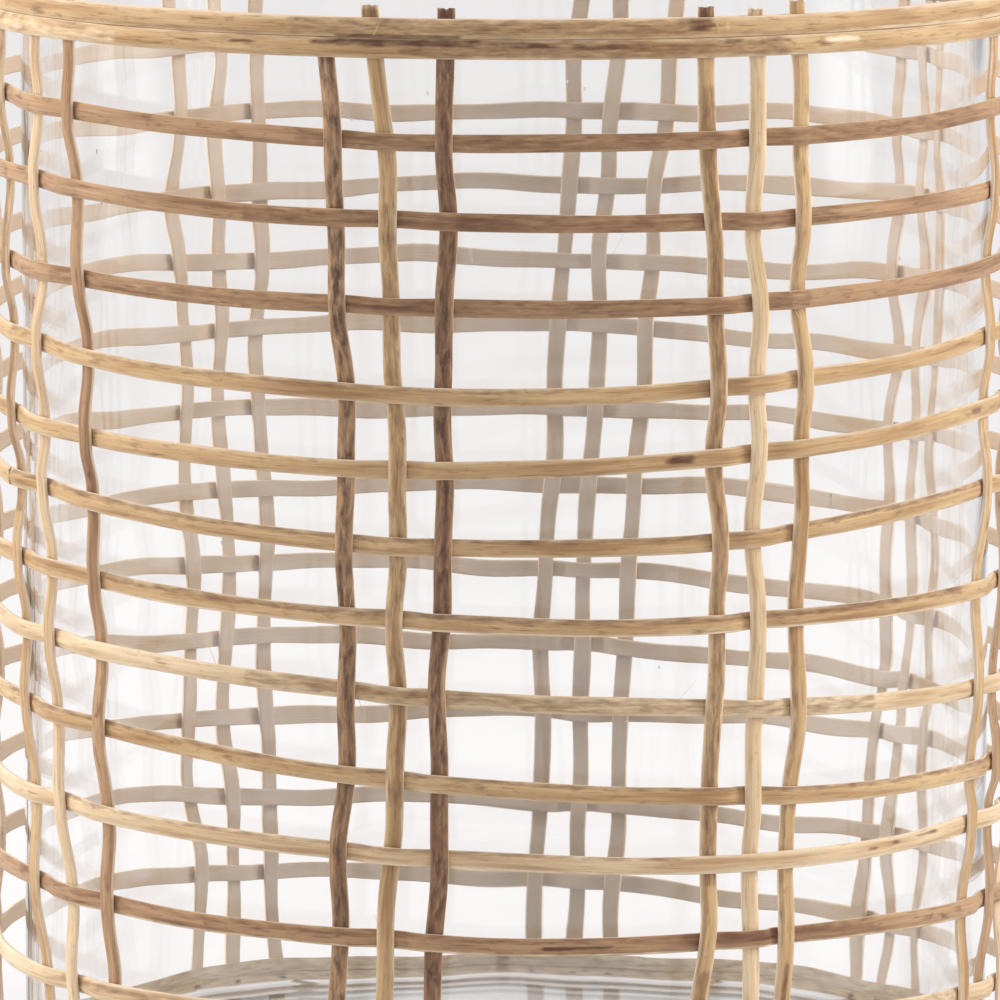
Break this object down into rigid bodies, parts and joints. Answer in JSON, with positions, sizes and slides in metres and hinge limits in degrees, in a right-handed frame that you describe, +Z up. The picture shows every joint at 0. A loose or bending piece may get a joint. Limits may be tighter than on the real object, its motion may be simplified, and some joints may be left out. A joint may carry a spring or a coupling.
{
  "type": "hurricane lantern",
  "caption": "Round candle lantern: a clear glass cylinder, open at the top, that lifts out of an openwork sleeve of plain-woven split cane with doubled rims and a woven floor.",
  "frame": {"origin": "on the floor, under the middle of the sleeve", "axes": "+Z up, -Y out of the front, +X to the right of someone facing the front"},
  "size_m": [0.2583, 0.2584, 0.2806],
  "materials": {
    "pale_cane": "split cane, satin",
    "golden_cane": "split cane, satin",
    "brown_cane": "split cane, satin",
    "dark_cane": "mottled cane skin, satin",
    "clear_glass": "clear, slightly uneven",
    "brad_steel": "dull"
  },
  "bodies": {
    "sleeve": {"top_rim_outer_upper": "golden_cane", "top_rim_outer_lower": "golden_cane", "top_rim_inner_upper": "brown_cane", "top_rim_inner_lower": "brown_cane", "foot_rim_outer_upper": "golden_cane", "foot_rim_outer_lower": "golden_cane", "foot_rim_inner_upper": "brown_cane", "foot_rim_inner_lower": "brown_cane", "top_rim_brads": "brad_steel", "foot_rim_brads": "brad_steel", "weaver_1": "brown_cane", "weaver_2": "brown_cane", "weaver_3": "brown_cane", "weaver_4": "golden_cane", "weaver_5": "golden_cane", "weaver_6": "golden_cane", "weaver_7": "golden_cane", "weaver_8": "pale_cane", "weaver_9": "golden_cane", "weaver_10": "pale_cane", "weaver_11": "brown_cane", "weaver_12": "pale_cane", "stake_1": "golden_cane", "stake_2": "pale_cane", "stake_3": "brown_cane", "stake_4": "dark_cane", "stake_5": "golden_cane", "stake_6": "dark_cane", "stake_7": "golden_cane", "stake_8": "pale_cane", "stake_9": "golden_cane", "stake_10": "golden_cane", "stake_11": "brown_cane", "stake_12": "pale_cane", "stake_13": "golden_cane", "stake_14": "golden_cane", "stake_15": "brown_cane", "stake_16": "golden_cane", "stake_17": "pale_cane", "stake_18": "golden_cane", "stake_19": "brown_cane", "stake_20": "golden_cane", "stake_21": "golden_cane", "stake_22": "pale_cane", "stake_23": "golden_cane", "stake_24": "brown_cane", "floor_strip_1": "pale_cane", "floor_strip_2": "pale_cane", "floor_strip_3": "pale_cane", "floor_strip_4": "golden_cane", "floor_strip_5": "golden_cane", "floor_strip_6": "golden_cane"},
    "glass": {"glass_cylinder": "clear_glass"}
  },
  "joints": [
    {"name": "glass_lift", "type": "slide", "parent": "sleeve", "child": "glass", "axis": [0, 0, 1], "range_m": [0, 0.285]}
  ]
}
